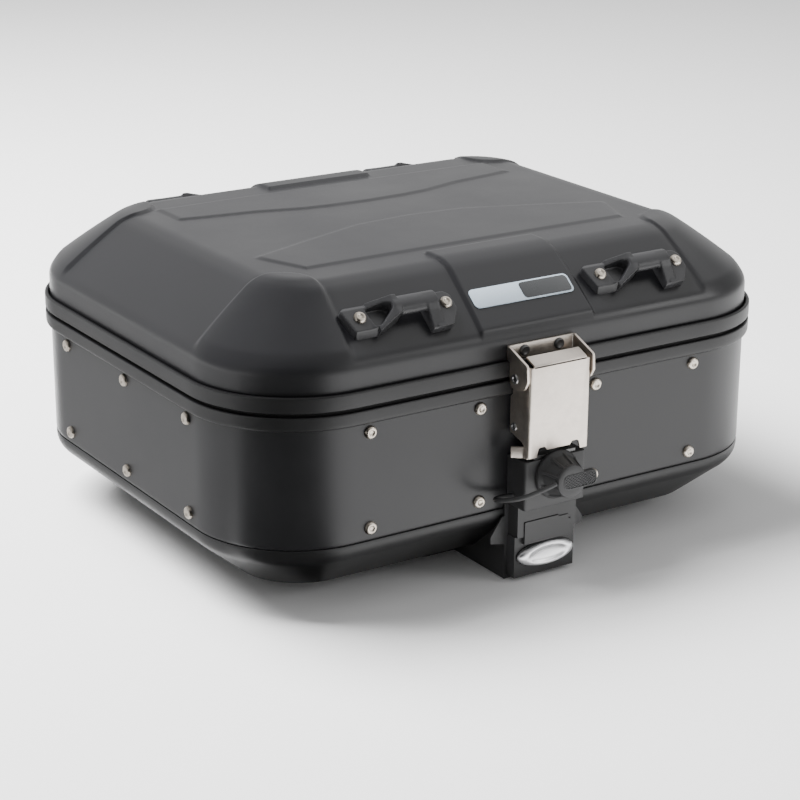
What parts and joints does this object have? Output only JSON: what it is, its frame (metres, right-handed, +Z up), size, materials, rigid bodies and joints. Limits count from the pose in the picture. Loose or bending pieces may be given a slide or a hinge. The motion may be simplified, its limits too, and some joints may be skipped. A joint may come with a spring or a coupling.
{
  "type": "motorcycle top case",
  "caption": "Black aluminium top case with domed hinged lid, cast tie-down handles, steel front latch, capped key lock and quick-release foot.",
  "frame": {"origin": "flat underside of the base frame, on the centre plane between the side panels and midway between the front and rear panels", "axes": "+X along the case's length to the right of the latch, +Y from the latch to the hinges, +Z up"},
  "size_m": [0.465, 0.426, 0.2246],
  "materials": {
    "powder_black": "satin black powder coat",
    "pan_black": "satin black powder coat",
    "rim_black": "fine-grained matte plastic",
    "seal_rubber": "matte",
    "mat_rubber": "matte ribbed",
    "rivet_silver": "satin",
    "housing_black": "fine-grained matte plastic",
    "stainless": "bead-blasted stainless",
    "pin_steel": "zinc-plated",
    "lock_chrome": "polished",
    "cap_rubber": "moulded matte rubber",
    "button_silver": "satin silver",
    "handle_black": "textured dark coating on cast metal",
    "badge_plastic": "two-tone gloss",
    "hinge_black": "satin black"
  },
  "bodies": {
    "case": {"body_shell": "powder_black", "bottom_pan": "pan_black", "lower_rim": "rim_black", "rim_seal": "seal_rubber", "floor_mat": "mat_rubber", "front_rivets": "rivet_silver", "rear_rivets": "rivet_silver", "left_rivets": "rivet_silver", "right_rivets": "rivet_silver", "lock_housing": "housing_black", "latch_catch": "stainless", "lock_rosette": "lock_chrome", "housing_screws": "pin_steel", "foot_housing": "housing_black", "button_carrier": "housing_black", "base_frame": "housing_black", "base_screws": "pin_steel", "hinge_body_leaf_left": "hinge_black", "hinge_body_leaf_right": "hinge_black", "hinge_rivets_body": "rivet_silver", "hinge_pin_left": "pin_steel", "hinge_pin_right": "pin_steel", "release_spring": "pin_steel"},
    "lid": {"lid_shell": "powder_black", "upper_rim": "rim_black", "handle_front_left": "handle_black", "handle_front_right": "handle_black", "handle_rear_left": "handle_black", "handle_rear_right": "handle_black", "handle_rivets_front": "rivet_silver", "handle_rivets_rear": "rivet_silver", "badge_plate": "badge_plastic", "latch_bracket": "stainless", "bracket_rivets": "rivet_silver", "latch_pivot_pin": "pin_steel", "hinge_lid_leaf_left": "hinge_black", "hinge_lid_leaf_right": "hinge_black", "hinge_rivets_lid": "rivet_silver"},
    "lever": {"latch_lever": "stainless", "hook_pin": "pin_steel"},
    "hook": {"latch_hook": "stainless"},
    "lock_core": {"lock_cylinder": "lock_chrome", "lock_cam": "pin_steel"},
    "lock_cap": {"lock_cap": "cap_rubber", "cap_strap": "cap_rubber"},
    "button": {"release_button": "button_silver", "release_slide": "pin_steel"}
  },
  "joints": [
    {"name": "lid_hinge", "type": "hinge", "parent": "case", "child": "lid", "pos_m": [0, 0.195, 0.15005], "axis": [-1, 0, 0], "range_deg": [0, 85]},
    {"name": "latch_lever_pivot", "type": "hinge", "parent": "lid", "child": "lever", "pos_m": [0, -0.196, 0.152], "axis": [-1, 0, 0], "range_deg": [0, 36]},
    {"name": "latch_hook_pivot", "type": "hinge", "parent": "lever", "child": "hook", "pos_m": [0, -0.1915, 0.1155], "axis": [1, 0, 0], "range_deg": [0, 18]},
    {"name": "key_turn", "type": "hinge", "parent": "case", "child": "lock_core", "pos_m": [0, -0.2, 0.081], "axis": [0, -1, 0], "range_deg": [0, 90]},
    {"name": "cap_pull", "type": "slide", "parent": "case", "child": "lock_cap", "axis": [0, -1, 0], "range_m": [0, 0.014]},
    {"name": "release_push", "type": "slide", "parent": "case", "child": "button", "axis": [0, 1, 0], "range_m": [0, 0.003], "stiffness_N_per_m": 600, "springref_m": -0.004, "deforming": ["release_spring"]}
  ],
  "couplings": [
    {"joint": "latch_hook_pivot", "follows": "latch_lever_pivot", "ratio": 0.5}
  ]
}
